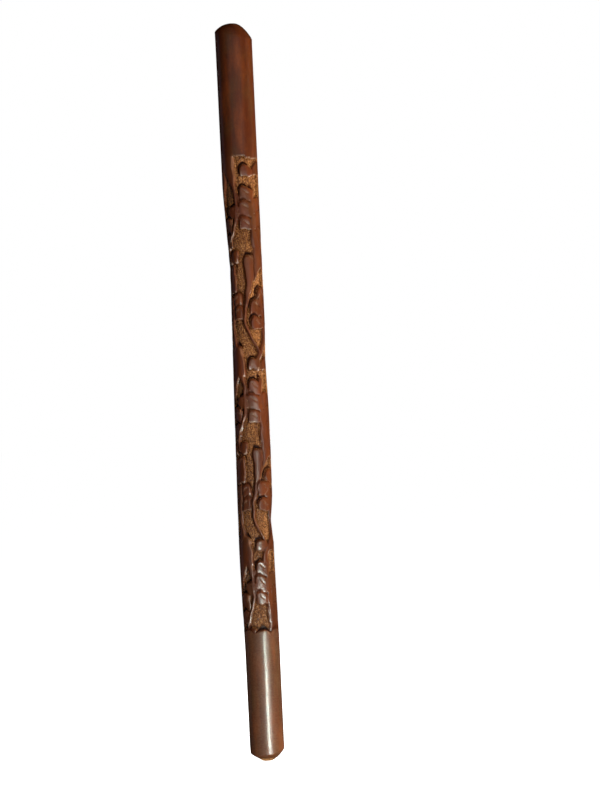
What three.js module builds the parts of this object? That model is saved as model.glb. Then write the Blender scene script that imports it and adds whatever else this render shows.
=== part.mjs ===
// Carved walking stick: a turned hardwood staff with a plain grip, a band of carved buds and
// winding stems, and a plain foot with a wear tip.
// Millimetres, +Z up. The ground face is at the origin, and the front of the carving faces -Y.
import * as THREE from "three";

const { degToRad, lerp, clamp, smoothstep } = THREE.MathUtils;

// Staff
const stickLength = 900;
const gripDiameter = 45;
const footDiameter = 41.9;
const plainGripLength = 163;
const plainFootLength = 158;

// Domed ends, cut by hand: the grip's dome drops lower on the right and is flatter on the left, and
// the foot's is fuller towards its left shoulder, and fuller still at its front and back
const gripDomeHeight = 14.6;
const gripDomeSlant = 5.5;
const gripDomePower = 2.3;
const gripDomePowerSlant = -0.3;
const footDomeHeight = 14.1;
const footDomePower = 2.2;
const footFullness = 4;
const footFrontFullness = 4.3;
const footFullnessPower = 1.5;

// Carving: columns of leaf buds round the staff, with a winding stem under every bud. Buds lie at
// half a pitch from those of the next column. Both sides are worn down to a shallow relief
const carvingDepth = 3.6;
const sideWearShare = 0.85;
const sideWearFrom = 0.94;
const borderWall = 2;
const lowerBorderArch = 2.5;
const budPitch = 229.3;
const budLength = 110;
const firstBudMargin = 6.4;
const frontColumnDegrees = 4;

// Lobes of the four kinds of bud, from its cap down. Starts and ends are shares of the bud's
// length; leans and half widths, on the outer and the inner side, are shares of a column's width
const collarBudShares = [
  { start: 0, end: 0.15, outer: 0.57, inner: 1.4, lean: 0.3 },
  { start: 0.24, end: 0.42, outer: 0.6, inner: 1.47, lean: 0.2 },
  { start: 0.4, end: 0.6, outer: 0.6, inner: 1.47, lean: 0.07 },
  { start: 0.58, end: 0.75, outer: 0.6, inner: 1.2, lean: 0.03 },
];
const closedBudShares = [
  { start: -0.055, end: 0.11, outer: 0.5, inner: 0.63, lean: 0.13 },
  { start: 0.11, end: 0.42, outer: 0.4, inner: 0.8, lean: 0.47 },
  { start: 0.42, end: 0.58, outer: 0.57, inner: 0.8, lean: 0.07 },
  { start: 0.55, end: 0.73, outer: 0.57, inner: 0.87, lean: 0 },
];
const openBudShares = [
  { start: 0.35, end: 0.52, outer: 0.4, inner: 1.13, lean: 0.73 },
  { start: 0.48, end: 0.68, outer: 0.7, inner: 1.47, lean: -0.03 },
  { start: 0.67, end: 0.83, outer: 0.63, inner: 1.47, lean: -0.1 },
];
const cappedBudShares = [
  { start: -0.14, end: 0.02, outer: 0.6, inner: 0.8, lean: -0.07 },
  { start: 0.24, end: 0.45, outer: 0.57, inner: 0.8, lean: -0.07 },
  { start: 0.41, end: 0.62, outer: 0.57, inner: 0.8, lean: -0.07 },
  { start: 0.59, end: 0.8, outer: 0.6, inner: 0.8, lean: -0.07 },
];
const lobeArches = { outer: 8.5, inner: 3.5 };
const lobeArchShare = 0.53;
const lobeRise = 2.5;
const lobeCrestShares = { top: 0.95, tail: 0.62, inner: 0.99 };
const lobeRoundness = 3;

// Columns from the front round to the right. Tops of the buds are shares of the pitch; bulges and
// necks of the stems are shares of a column's width. Stems swing to the right or left to join a
// column between them, whose own stem widens round its next bud
const columnShares = [
  { bud: collarBudShares, tops: [0.016, 1.041, 2.002], bulge: -0.27, neck: 0.25, swing: "right" },
  { bud: openBudShares, tops: [0.5, 1.464], bulge: 0.1, neck: 0.33, swing: "joined" },
  { bud: cappedBudShares, tops: [0.072, 1.106, 2.061], bulge: -0.33, neck: 0.43, swing: "left" },
  { bud: closedBudShares, tops: [0.517, 1.529], bulge: -0.23, neck: 0.27, swing: "right" },
  { bud: openBudShares, tops: [0.051, 1.054, 2.052], bulge: 0, neck: 0.33, swing: "joined" },
  { bud: collarBudShares, tops: [0.5, 1.507], bulge: -0.27, neck: 0.27, swing: "left" },
  { bud: closedBudShares, tops: [0.016, 1.01, 2.017], bulge: -0.27, neck: 0.27, swing: "right" },
  { bud: openBudShares, tops: [0.509, 1.494], bulge: 0, neck: 0.33, swing: "joined" },
  { bud: collarBudShares, tops: [0.046, 1.041, 2.044], bulge: -0.27, neck: 0.27, swing: "left" },
  { bud: closedBudShares, tops: [0.509, 1.516], bulge: -0.23, neck: 0.27, swing: "right" },
  { bud: openBudShares, tops: [0.064, 1.067, 2.057], bulge: 0, neck: 0.33, swing: "joined" },
  { bud: closedBudShares, tops: [0.495, 1.507], bulge: -0.23, neck: 0.27, swing: "left" },
];

// Stems: runs are shares of a stem's length, widths and offsets are shares of a column's width
const stemArch = 7.5;
const stemBevel = 3.5;
const stemHalfTopShare = 0.67;
const stemTopOffsetShare = 0.37;
const neckRunShares = { from: 0.15, to: 0.62 };
const bulgeRunShares = { from: 0.2, to: 0.75 };
const swingRunShares = { from: 0.68, to: 1.04, end: 1.1 };
const swingShare = 1.47;
const joinedRunShares = { from: 0.7, to: 1.05 };
const joinedShares = { half: 0.8, offset: 0.47 };
const joinedStart = 38;
const joinedTail = 16;
const joinedTailSlant = 15;
const firstStemRise = 60;

// Broad hollows where the carver cut deeper than the ground, by angle from the front, distance
// below the grip's end and reach round, up and down
const hollows = [
  { degrees: -96, below: 301, turn: 66, up: 100, down: 235, depth: 4.7 },
  { degrees: 97, below: 412, turn: 40, up: 40, down: 60, depth: 1.5 },
  { degrees: 97, below: 608, turn: 44, up: 30, down: 26, depth: 2.6 },
];

// The staff bows to one side over the lower half of its carving
const bowDepth = 1.4;
const bowHeight = 255;
const bowReach = 125;

// Wear tip, its dowel and the plug in the grip's end
const fitClearance = 0.3;
const tipDiameter = 20.8;
const tipGroundDiameter = 9;
const tipSeatDepth = 12;
const dowelDiameter = 8;
const dowelLength = 38;
const dowelInTip = 9;
const dowelChamfer = 1;
const plugDiameter = 10;
const plugLength = 16;
const plugCrown = 0.9;

// Fineness of the surfaces
const sectors = 48;
const carvedRings = 108;
const softening = [-1 / 3, 0, 1 / 3];
const domeRings = 5;
const turnedSectors = 32;
const roundSteps = 5;

// Sizes that follow from those above
const carvedTop = stickLength - plainGripLength;
const carvedLength = carvedTop - plainFootLength;
const stemLength = budPitch - budLength;
const columnDegrees = 360 / columnShares.length;
const sectorDegrees = 360 / sectors;
const ringPitch = carvedLength / carvedRings;
const columnArc = (gripDiameter / 2) * degToRad(columnDegrees);
const tipSeatDiameter = tipDiameter + 2 * fitClearance;
const dowelHoleDiameter = dowelDiameter + 2 * fitClearance;
const plugHoleDiameter = plugDiameter + 2 * fitClearance;

const turnedRadius = (height) => lerp(footDiameter, gripDiameter, height / stickLength) / 2;
const bow = (height) => -bowDepth * clamp(1 - ((height - bowHeight) / bowReach) ** 2, 0, 1) ** 2;

const footDomeRise = (radius) => footDomeHeight * (radius / turnedRadius(footDomeHeight)) ** footDomePower;
const tipShoulder = footDomeRise(tipDiameter / 2);
const tipTop = tipShoulder + tipSeatDepth;
const seatTop = tipTop + fitClearance;
const dowelBottom = tipTop - dowelInTip;
const dowelTop = dowelBottom + dowelLength;

// Angle between two directions round the staff, from -180 to 180 degrees
const turnBetween = (from, to) => ((((to - from + 180) % 360) + 360) % 360) - 180;

// Height of a lobe over the ground, from 0 to 1, at an offset in degrees from its middle and a
// distance below its start: it rises under its arch, then falls away on its outer side
function lobeHeight({ start, end, outer, inner }, offset, down) {
  const side = Math.abs(offset) / ((offset < 0 ? outer : inner) * columnDegrees);
  const spread = Math.abs(offset) / (lobeArchShare * columnDegrees);
  const underArch = down - (offset < 0 ? lobeArches.outer : lobeArches.inner) * Math.min(spread, 1) ** 2;
  const run = underArch / ((end - start) * budLength);
  if (side >= 1 || run <= 0 || run > 1) return 0;
  const { top, tail, inner: flank } = lobeCrestShares;
  const crest = lerp(lerp(top, tail, run), flank, smoothstep(offset, 0, lobeArchShare * columnDegrees));
  return crest * (1 - side ** lobeRoundness) * smoothstep(underArch, 0, lobeRise);
}

// Height of a stem over the ground, from 0 to 1: wide under its arched top and narrowing to a neck.
// The first stem of a column runs in from the grip
function stemHeight({ bulge, neck, swing }, isFirst, across, down) {
  const run = down / stemLength;
  const narrowing = smoothstep(run, neckRunShares.from, neckRunShares.to);
  let half = lerp(stemHalfTopShare, neck, narrowing);
  let middle = lerp(stemTopOffsetShare, bulge, smoothstep(run, bulgeRunShares.from, bulgeRunShares.to));
  let start = isFirst ? -firstStemRise : 0;
  let end = stemLength * swingRunShares.end;
  if (swing === "joined") {
    const widening = smoothstep(run, joinedRunShares.from, joinedRunShares.to);
    half += joinedShares.half * widening;
    middle = bulge + joinedShares.offset * widening;
    start = joinedStart;
    end = stemLength + joinedTail + joinedTailSlant * clamp(1 - across / columnDegrees, 0, 1) ** 2;
  } else {
    middle += swingShare * smoothstep(run, swingRunShares.from, swingRunShares.to);
  }
  const offset = Math.abs(across / columnDegrees - middle);
  const underArch = down - start - stemArch * (offset / half) ** 2;
  if (offset >= half || underArch <= 0 || down >= end) return 0;
  const edge = ((half - offset) * columnArc) / stemBevel;
  return smoothstep(edge, 0, 1) * smoothstep(underArch, 0, lobeRise);
}

// Depth of the broad hollows at an angle from the front in degrees
function hollowDepth(degrees, height) {
  let depth = 0;
  for (const hollow of hollows) {
    const turn = turnBetween(hollow.degrees, degrees) / hollow.turn;
    const slide = stickLength - height - hollow.below;
    const reach = Math.abs(slide) / (slide < 0 ? hollow.up : hollow.down);
    depth += hollow.depth * Math.max(1 - turn ** 2, 0) * Math.max(1 - reach, 0);
  }
  return depth;
}

// Depth of the carving below the turned surface, at an angle from the front in degrees. Its lower
// border arches over the foot between every second column
function carvedDepth(degrees, height) {
  const fromTop = carvedTop - height;
  let high = 0;
  let border = 1;
  columnShares.forEach((column, index) => {
    const turn = turnBetween(frontColumnDegrees + index * columnDegrees, degrees);
    const across = column.swing === "left" ? -turn : turn;
    if (index % 2 === 0) border = Math.min(border, Math.abs(across) / columnDegrees);
    for (const [row, top] of [column.tops[0] - 1, ...column.tops].entries()) {
      const down = fromTop - firstBudMargin - top * budPitch;
      high = Math.max(high, stemHeight(column, row === 0, across, down - budLength));
      for (const lobe of row > 0 ? column.bud : []) {
        const offset = across - lobe.lean * columnDegrees;
        high = Math.max(high, lobeHeight(lobe, offset, down - lobe.start * budLength));
      }
    }
  });
  const isCarved = fromTop > 0 && fromTop < carvedLength - lowerBorderArch * (1 - border ** 2);
  const worn = sideWearShare * smoothstep(Math.abs(Math.sin(degToRad(degrees))), sideWearFrom, 1);
  return (isCarved ? carvingDepth * (1 - high) * (1 - worn) : 0) + hollowDepth(degrees, height);
}

// The carved depth averaged over the patch of surface round one point of the skin
function patchDepth(degrees, height) {
  let sum = 0;
  for (const turn of softening) {
    for (const slide of softening) {
      sum += carvedDepth(degrees + turn * sectorDegrees, height + slide * ringPitch);
    }
  }
  return sum / softening.length ** 2;
}

// A closed skin through rings of points. A ring gives a radius and a height for an angle, and the
// skin ends in a point on the axis at each end. Each patch is split along the diagonal whose ends
// lie at the most alike radii, so that ridges stay sharp
function skinThroughRings(rings, firstHeight, lastHeight) {
  const points = [0, 0, firstHeight];
  const radii = [0];
  for (const ring of rings) {
    for (let i = 0; i < sectors; i += 1) {
      const degrees = i * sectorDegrees;
      const { radius, height } = ring(degrees);
      const [x, y] = [radius * Math.sin(degToRad(degrees)), -radius * Math.cos(degToRad(degrees))];
      points.push(bow(height) + x, y, height);
      radii.push(radius);
    }
  }
  points.push(0, 0, lastHeight);
  const last = rings.length * sectors + 1;
  const at = (ring, i) => 1 + ring * sectors + (i % sectors);
  const faces = [];
  for (let i = 0; i < sectors; i += 1) {
    faces.push(0, at(0, i), at(0, i + 1));
    for (let ring = 0; ring + 1 < rings.length; ring += 1) {
      const [a, b] = [at(ring, i), at(ring + 1, i)];
      const [c, d] = [at(ring + 1, i + 1), at(ring, i + 1)];
      if (Math.abs(radii[a] - radii[c]) <= Math.abs(radii[b] - radii[d])) faces.push(a, b, c, a, c, d);
      else faces.push(a, b, d, b, c, d);
    }
    faces.push(last, at(rings.length - 1, i + 1), at(rings.length - 1, i));
  }
  const geometry = new THREE.BufferGeometry();
  geometry.setAttribute("position", new THREE.Float32BufferAttribute(points, 3));
  geometry.setIndex(faces);
  geometry.computeVertexNormals();
  return geometry;
}

// Numbers from one value to another in even steps, both ends included
const steps = (from, to, count) => Array.from({ length: count + 1 }, (_, i) => lerp(from, to, i / count));

// Ring of the grip's lopsided dome at a radius given as a share of the shoulder's
function gripDomeRing(radiusShare) {
  return (degrees) => {
    const side = Math.sin(degToRad(degrees));
    const height = gripDomeHeight + gripDomeSlant * side;
    return {
      radius: radiusShare * turnedRadius(stickLength - height),
      height: stickLength - height * radiusShare ** (gripDomePower + gripDomePowerSlant * side),
    };
  };
}

// Ring of the foot's dome at a radius given as a share of the way from the tip's seat to the
// shoulder: fuller, and so lower, towards the left and at the front and back
function footDomeRing(share) {
  const radius = lerp(tipSeatDiameter / 2, turnedRadius(footDomeHeight), share);
  return (degrees) => {
    const side = Math.sin(degToRad(degrees));
    const fullness = (footFullness * (1 - side)) / 2 + footFrontFullness * (1 - side ** 2);
    return { radius, height: footDomeRise(radius) - fullness * share ** footFullnessPower };
  };
}

const levelRing = (radius, height) => () => ({ radius, height });

// The staff: from the plug's hole over the grip's dome, down the carving, round the foot's dome and
// up into the seat of the tip and the dowel's hole
function shaftGeometry() {
  const gripShoulder = gripDiameter / 2;
  const plugHoleBottom = stickLength - plugLength - fitClearance;
  const plugHoleShare = plugHoleDiameter / 2 / gripShoulder;
  const rings = [levelRing(plugHoleDiameter / 2, plugHoleBottom)];
  for (const share of steps(plugHoleShare, 1, domeRings)) {
    rings.push(gripDomeRing(share));
  }
  rings.push(levelRing(turnedRadius(carvedTop), carvedTop));
  for (const height of steps(carvedTop - borderWall, plainFootLength + borderWall, carvedRings)) {
    rings.push((degrees) => ({ radius: turnedRadius(height) - patchDepth(degrees, height), height }));
  }
  rings.push(levelRing(turnedRadius(plainFootLength), plainFootLength));
  for (const share of steps(1, 0, domeRings)) {
    rings.push(footDomeRing(share));
  }
  rings.push(levelRing(tipSeatDiameter / 2, seatTop));
  rings.push(levelRing(dowelHoleDiameter / 2, seatTop));
  rings.push(levelRing(dowelHoleDiameter / 2, dowelTop + fitClearance));
  return skinThroughRings(rings, plugHoleBottom, dowelTop + fitClearance);
}

// A turned piece: the outline's points are radius and height, from the axis at the bottom to the
// axis at the top
function turned(outline) {
  const points = outline.map(([radius, height]) => new THREE.Vector2(radius, height));
  const geometry = new THREE.LatheGeometry(points, turnedSectors);
  return geometry.rotateX(Math.PI / 2);
}

// The wear tip: a flat ground face, the dome carried on from the foot, a straight shank in its seat
// and a blind hole for the dowel
function footTipGeometry() {
  const radius = tipDiameter / 2;
  const ground = tipGroundDiameter / 2;
  const dome = steps(ground, radius, roundSteps).map((r) => {
    const rise = (footDomeRise(r) - footDomeRise(ground)) / (tipShoulder - footDomeRise(ground));
    return [r, tipShoulder * rise];
  });
  const hole = dowelHoleDiameter / 2;
  const holeBottom = dowelBottom - fitClearance;
  return turned([[0, 0], ...dome, [radius, tipTop], [hole, tipTop], [hole, holeBottom], [0, holeBottom]]);
}

// The dowel, chamfered at both ends
function dowelGeometry() {
  const radius = dowelDiameter / 2;
  return turned([
    [0, dowelBottom],
    [radius - dowelChamfer, dowelBottom],
    [radius, dowelBottom + dowelChamfer],
    [radius, dowelTop - dowelChamfer],
    [radius - dowelChamfer, dowelTop],
    [0, dowelTop],
  ]);
}

// The plug in the grip's end, crowned to carry the dome on
function plugGeometry() {
  const radius = plugDiameter / 2;
  const crown = steps(radius, 0, roundSteps).map((r) => [r, stickLength - plugCrown * (r / radius) ** 2]);
  return turned([[0, stickLength - plugLength], [radius, stickLength - plugLength], ...crown]);
}

function piece(name, geometry, material) {
  const mesh = new THREE.Mesh(geometry, new THREE.MeshStandardMaterial({ metalness: 0, ...material }));
  mesh.name = name;
  return mesh;
}

const stick = new THREE.Group();
stick.add(
  piece("shaft", shaftGeometry(), { color: 0x6b3a26, roughness: 0.3 }),
  piece("foot_tip", footTipGeometry(), { color: 0x8a6540, roughness: 0.75 }),
  piece("tip_dowel", dowelGeometry(), { color: 0xb98a58, roughness: 0.8 }),
  piece("grip_end_plug", plugGeometry(), { color: 0x5f3522, roughness: 0.35 }),
);

export default stick;
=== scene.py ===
"""Looks of a carved walking stick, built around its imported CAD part.

A turned hardwood staff, varnished dark, with a plain grip, a band of carved leaf buds and winding
stems over a stippled golden ground, and a plain foot that ends in a worn tip. Metres, +Z up, the
ground face at the origin and the front of the carving towards -Y.
"""

import logging
import math
from dataclasses import dataclass, field, replace
from enum import Enum

import bpy
import numpy as np
from mathutils import Matrix, Vector


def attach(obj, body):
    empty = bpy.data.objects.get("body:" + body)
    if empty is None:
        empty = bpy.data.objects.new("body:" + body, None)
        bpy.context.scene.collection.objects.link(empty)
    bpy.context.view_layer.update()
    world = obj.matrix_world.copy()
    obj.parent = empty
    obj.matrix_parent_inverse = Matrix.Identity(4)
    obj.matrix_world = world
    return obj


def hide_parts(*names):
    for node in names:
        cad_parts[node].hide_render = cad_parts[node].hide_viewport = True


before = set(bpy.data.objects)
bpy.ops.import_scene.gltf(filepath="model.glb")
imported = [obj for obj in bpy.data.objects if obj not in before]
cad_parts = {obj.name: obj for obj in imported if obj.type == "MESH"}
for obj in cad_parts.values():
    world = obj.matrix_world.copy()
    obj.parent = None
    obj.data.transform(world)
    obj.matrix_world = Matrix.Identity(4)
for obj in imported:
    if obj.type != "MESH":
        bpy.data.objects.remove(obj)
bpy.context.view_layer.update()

log = logging.getLogger("walking_stick")

MM = 0.001
LEAST_REACH = 0.001  # millimetres, so that a gouge that has run out divides by something
HAIR = 1e-6  # the same for a share
# The Mix node's sockets for colours, and the radians of a wave in a unit of the Wave node's scale
MIX_FIRST, MIX_SECOND, MIX_RESULT = 6, 7, 2
WAVE_RADIANS = 20


# Small helpers


def linear(code: str) -> tuple[float, float, float, float]:
    """Turns an sRGB hex colour into linear values.

    Args:
        code: six hex digits, such as "8a6540".

    Returns:
        Red, green, blue and an alpha of one. Each channel c becomes c / 12.92 up to 0.04045, and
        ((c + 0.055) / 1.055) to the power 2.4 above it.
    """
    channels = [int(code[i : i + 2], 16) / 255 for i in (0, 2, 4)]
    red, green, blue = (c / 12.92 if c <= 0.04045 else ((c + 0.055) / 1.055) ** 2.4 for c in channels)
    return red, green, blue, 1.0


def add_node(
    tree: bpy.types.NodeTree, kind: str, inputs: dict | None = None, **settings
) -> bpy.types.Node:
    """Adds a node with its settings and links.

    Args:
        tree: the node tree of a material or world.
        kind: the node's type, such as "ShaderNodeMapping".
        inputs: socket names or numbers, each with a plain value or an output socket to link from.
        settings: the node's own properties.

    Returns:
        The new node.
    """
    node = tree.nodes.new(kind)
    for name, value in settings.items():
        setattr(node, name, value)
    for name, value in (inputs or {}).items():
        if isinstance(value, bpy.types.NodeSocket):
            tree.links.new(value, node.inputs[name])
        else:
            node.inputs[name].default_value = value
    return node


def smooth_step(value: np.ndarray, start: float, end: float) -> np.ndarray:
    """Rises from 0 at start to 1 at end along 3 t squared minus 2 t cubed."""
    t = np.clip((value - start) / (end - start), 0, 1)
    return t * t * (3 - 2 * t)


def blend(first: np.ndarray | float, second: np.ndarray | float, share: np.ndarray) -> np.ndarray:
    """Goes in a straight line from first, at share 0, to second, at share 1."""
    return first + (second - first) * share


def soft_max(first: np.ndarray, second: np.ndarray, softness: float) -> np.ndarray:
    """Joins two heights: the greater one, plus (s - d) squared / 4 s where they differ by d < s."""
    near = np.maximum(softness - np.abs(first - second), 0)
    return np.minimum(np.maximum(first, second) + near**2 / (4 * softness), 1)


def bowl(distance: np.ndarray, reach: np.ndarray) -> np.ndarray:
    """Hollow of a gouge: 1 at its edge, less the square of the share of its reach, down to 0."""
    return 1 - np.clip(distance / reach, 0, 1) ** 2


def turn_between(first: float, second: np.ndarray) -> np.ndarray:
    """Angle from first to second in degrees, brought between -180 and 180."""
    return (second - first + 180) % 360 - 180


def sheet_of_rings(
    name: str, radius: np.ndarray, height: np.ndarray, shift: np.ndarray, poles: tuple[float, float]
) -> bpy.types.Object:
    """Makes a closed skin through rings of points round the Z axis.

    Args:
        name: the object's name.
        radius: metres, one row for each ring from the first pole to the last, going down outside.
        height: metres, the same shape.
        shift: metres that each point's ring stands off the axis along X, the same shape.
        poles: heights of the points on the axis that close the first and the last ring.

    Returns:
        The object. A point lies at x = shift + r sin a, y = -r cos a, z = height, where a is its
        turn from the front; each cell of the grid is one four-sided face, and each pole a fan.
    """
    rings, sectors = radius.shape
    turn = np.radians(np.arange(sectors) * 360 / sectors)[None, :]
    grid = np.stack([shift + radius * np.sin(turn), -radius * np.cos(turn), height], axis=-1)
    ends = np.array([[shift[0, 0], 0, poles[0]], [shift[-1, 0], 0, poles[1]]])
    points = np.concatenate([grid.reshape(-1, 3), ends])
    index = np.arange(rings * sectors).reshape(rings, sectors)
    right = np.roll(index, -1, axis=1)
    cells = np.stack([index[:-1], index[1:], right[1:], right[:-1]], axis=-1).reshape(-1, 4)
    top = np.full(sectors, rings * sectors)
    fans = np.concatenate(
        [
            np.stack([top, index[0], right[0]], axis=-1),
            np.stack([top + 1, right[-1], index[-1]], axis=-1),
        ]
    )
    mesh = bpy.data.meshes.new(name)
    mesh.from_pydata(points.tolist(), [], cells.tolist() + fans.tolist())
    mesh.polygons.foreach_set("use_smooth", np.ones(len(mesh.polygons), dtype=bool))
    mesh.update()
    made = bpy.data.objects.new(name, mesh)
    bpy.context.scene.collection.objects.link(made)
    return made


def write_attribute(piece: bpy.types.Object, name: str, values: np.ndarray) -> None:
    """Writes one number for each point of a piece, with zero for its two poles."""
    attribute = piece.data.attributes.new(name, "FLOAT", "POINT")
    attribute.data.foreach_set("value", np.append(values.ravel(), (0, 0)).astype(np.float32))


def seat(piece: bpy.types.Object, node: str, slot: "Slot") -> None:
    """Hands a finished piece to the frame in place of a CAD node.

    Args:
        piece: the finished object.
        node: the CAD node that it stands for.
        slot: the record's material slot that its finish belongs to; not used.
    """
    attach(piece, "root")
    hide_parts(node)
    log.info("%s: %d faces, for node %s", piece.name, len(piece.data.polygons), node)


class Slot(Enum):
    """The record's material slots."""

    VARNISHED = "varnished_hardwood"
    BARE = "bare_hardwood"
    DOWEL = "dowel_wood"


class Swing(Enum):
    """What the stem under a column's bud does at its lower end."""

    RIGHT = "crosses to the right to join the next column"
    LEFT = "crosses to the left to join the column before"
    JOINED = "takes in its neighbours' stems and widens round its own next bud"


# The carving


@dataclass(frozen=True)
class Lobe:
    """One lobe of a leaf bud, or the bed under its lobes, in millimetres below the bud's top and degrees
    round the staff. Its nail is the strength of the dark gouge over its arch, its side cut is how far that
    gouge runs on down the outer side and its breadth how far it runs over the inner side. Its vein is the
    strength of the shallow worn lines on it and of the pale lines on them and on its gouge's rim, painted
    as highlights, and its crest is a share of full height."""

    start: float
    end: float
    outer: float
    inner: float
    lean: float
    outer_arch: float
    inner_arch: float
    nail: float = 0.6
    side_cut: float = 3
    breadth: float = 12
    vein: float = 1
    crest: float = 0.97


COLLAR_BUD = (
    Lobe(0, 16, 17, 42, 9, 6, 2, nail=1, side_cut=11, breadth=26, vein=0),
    Lobe(32, 80, 26, 44, 3, 10, 2, nail=0, vein=0, crest=0.62),
    Lobe(26, 46, 18, 44, 6, 9, 2, nail=1, side_cut=6, breadth=24),
    Lobe(43.5, 66, 18, 44, 2, 6, 1.2, nail=0.6, side_cut=3),
    Lobe(63.5, 80.5, 18, 36, 1, 7, 1.2, nail=0.6, side_cut=5),
)
CLOSED_BUD = (
    Lobe(-6, 12, 15, 19, 4, 4, 1.5, nail=0.4, vein=0),
    Lobe(12, 46, 12, 24, 14, 7, 3, nail=0.6, side_cut=6),
    Lobe(44, 80, 19, 26, 2, 7, 3, nail=0, vein=0, crest=0.6),
    Lobe(46, 63, 17, 20, 2, 7, 3, nail=0.7, side_cut=8),
    Lobe(62, 80, 17, 21, 0, 7, 3, nail=0.6, side_cut=8),
)
OPEN_BUD = (
    Lobe(38.5, 57, 27, 34, 31, 11, 1.5, nail=0.9, breadth=18),
    Lobe(53, 75, 22, 44, -1, 8, 1, nail=1, side_cut=6, breadth=18),
    Lobe(73.5, 91, 19, 44, -3, 7, 1, nail=1, breadth=18),
)
SLIM_BUD = tuple(replace(lobe, inner=24) for lobe in OPEN_BUD)
CAPPED_BUD = (
    Lobe(-15, 2, 18, 24, -2, 8, 3, vein=0),
    Lobe(26, 49, 17, 40, -2, 9, 1.6, nail=0.4, vein=0.3),
    Lobe(45, 68, 17, 40, -2, 8, 1.4, nail=0.4, vein=0.3),
    Lobe(65, 88, 18, 40, -2, 8, 1.4, nail=0.4, vein=0.3),
)


@dataclass(frozen=True)
class Stem:
    """The stem under a column's buds: offsets and half widths in degrees, walls in millimetres.
    It narrows, bulges and swings over between two shares of its length each. Its lip is the
    offset of the highest point of its arched top, a joined stem's drift is how far it moves over
    as it widens, and the end wall is how much wider its walls get towards its lower end."""

    bulge: float
    neck: float
    top_offset: float = 11
    top_half: float = 20
    top_wall: float = 3
    narrowing: tuple[float, float] = (0.15, 0.62)
    bulging: tuple[float, float] = (0.2, 0.75)
    swinging: tuple[float, float] = (0.7, 1.03)
    lip: float = -6
    drift: float = 14
    end_wall: float = 1.5


FRONT_STEM = Stem(-8.2, 7.5, 13, 21, 3, (0, 0.62), (0.25, 0.62), lip=-9)
FLANKED_STEM = Stem(-7, 8, 15, 27, 7, (0.1, 0.44), (0.1, 0.45), (0.62, 1.1))


@dataclass(frozen=True)
class Column:
    """A column of buds: its place in degrees from the front, and its buds' tops in millimetres
    below the grip's end. The first bud lies above the carving and shows only its stem, or nothing
    where its top is negative. Late is how far below its other buds their stems start."""

    degrees: float
    swing: Swing
    lobes: tuple[Lobe, ...]
    tops: tuple[float, ...]
    stem: Stem
    late: float = 0


COLUMNS = (
    Column(4, Swing.RIGHT, COLLAR_BUD, (-60, 173, 408, 628.5), FRONT_STEM),
    Column(34, Swing.JOINED, OPEN_BUD, (55, 284, 505, 742), Stem(3, 10, drift=26, end_wall=5)),
    Column(64, Swing.LEFT, CAPPED_BUD, (-43, 186, 423, 642), Stem(-10, 13), late=34),
    Column(94, Swing.RIGHT, CLOSED_BUD, (58, 288, 520, 746), Stem(-7, 8)),
    Column(124, Swing.JOINED, OPEN_BUD, (-50, 181, 411, 640), Stem(0, 10)),
    Column(154, Swing.LEFT, COLLAR_BUD, (56, 284, 515, 744), FRONT_STEM),
    Column(184, Swing.RIGHT, CLOSED_BUD, (-55, 173, 401, 632), FLANKED_STEM),
    Column(214, Swing.JOINED, OPEN_BUD, (56, 286, 512, 745), Stem(0, 10)),
    Column(244, Swing.LEFT, COLLAR_BUD, (-50, 180, 408, 638), FRONT_STEM),
    Column(274, Swing.RIGHT, CLOSED_BUD, (58, 286, 517, 744), Stem(-7, 8)),
    Column(304, Swing.JOINED, SLIM_BUD, (-46, 184, 414, 641), Stem(0, 10)),
    Column(334, Swing.LEFT, CLOSED_BUD, (49, 283, 515, 742), FLANKED_STEM),
)


@dataclass(frozen=True)
class Vein:
    """A worn line that slants over a form, cut shallow and painted pale as a highlight: the offset in
    degrees and the millimetres below the form's top that it goes through, its slope in millimetres down for
    each one across, and the distances and offsets between which it fades."""

    middle: float
    start: float
    slope: float
    blur: tuple[float, float]
    coming: tuple[float, float]
    going: tuple[float, float] = (15, 20)

    def share(self, offset: np.ndarray, slide: np.ndarray, degree: float) -> np.ndarray:
        """Works out how strong the line is.

        Args:
            offset: degrees from the form's middle line.
            slide: millimetres below the form's top.
            degree: length of a degree in millimetres.

        Returns:
            From 0 to 1, along a straight line that slants over the form and fades at its ends.
        """
        away = np.abs(slide - self.start - self.slope * (offset - self.middle) * degree)
        line = (1 - smooth_step(away, *self.blur)) * smooth_step(offset, *self.coming)
        return line * (1 - smooth_step(offset, *self.going))


@dataclass(frozen=True)
class Wave:
    """A slow wave along and round the staff: its size, the millimetres down that make a radian of
    it, its waves to a turn, and its phase in radians."""

    size: float
    down: float
    turns: float
    phase: float = 0


def ripple(waves: tuple[Wave, ...], degrees: np.ndarray, below: np.ndarray) -> np.ndarray:
    """Sums waves, each its size times the sine of (below / down + turns times angle + phase)."""
    turn = np.radians(degrees)
    return sum(w.size * np.sin(below / w.down + w.turns * turn + w.phase) for w in waves)


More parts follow.
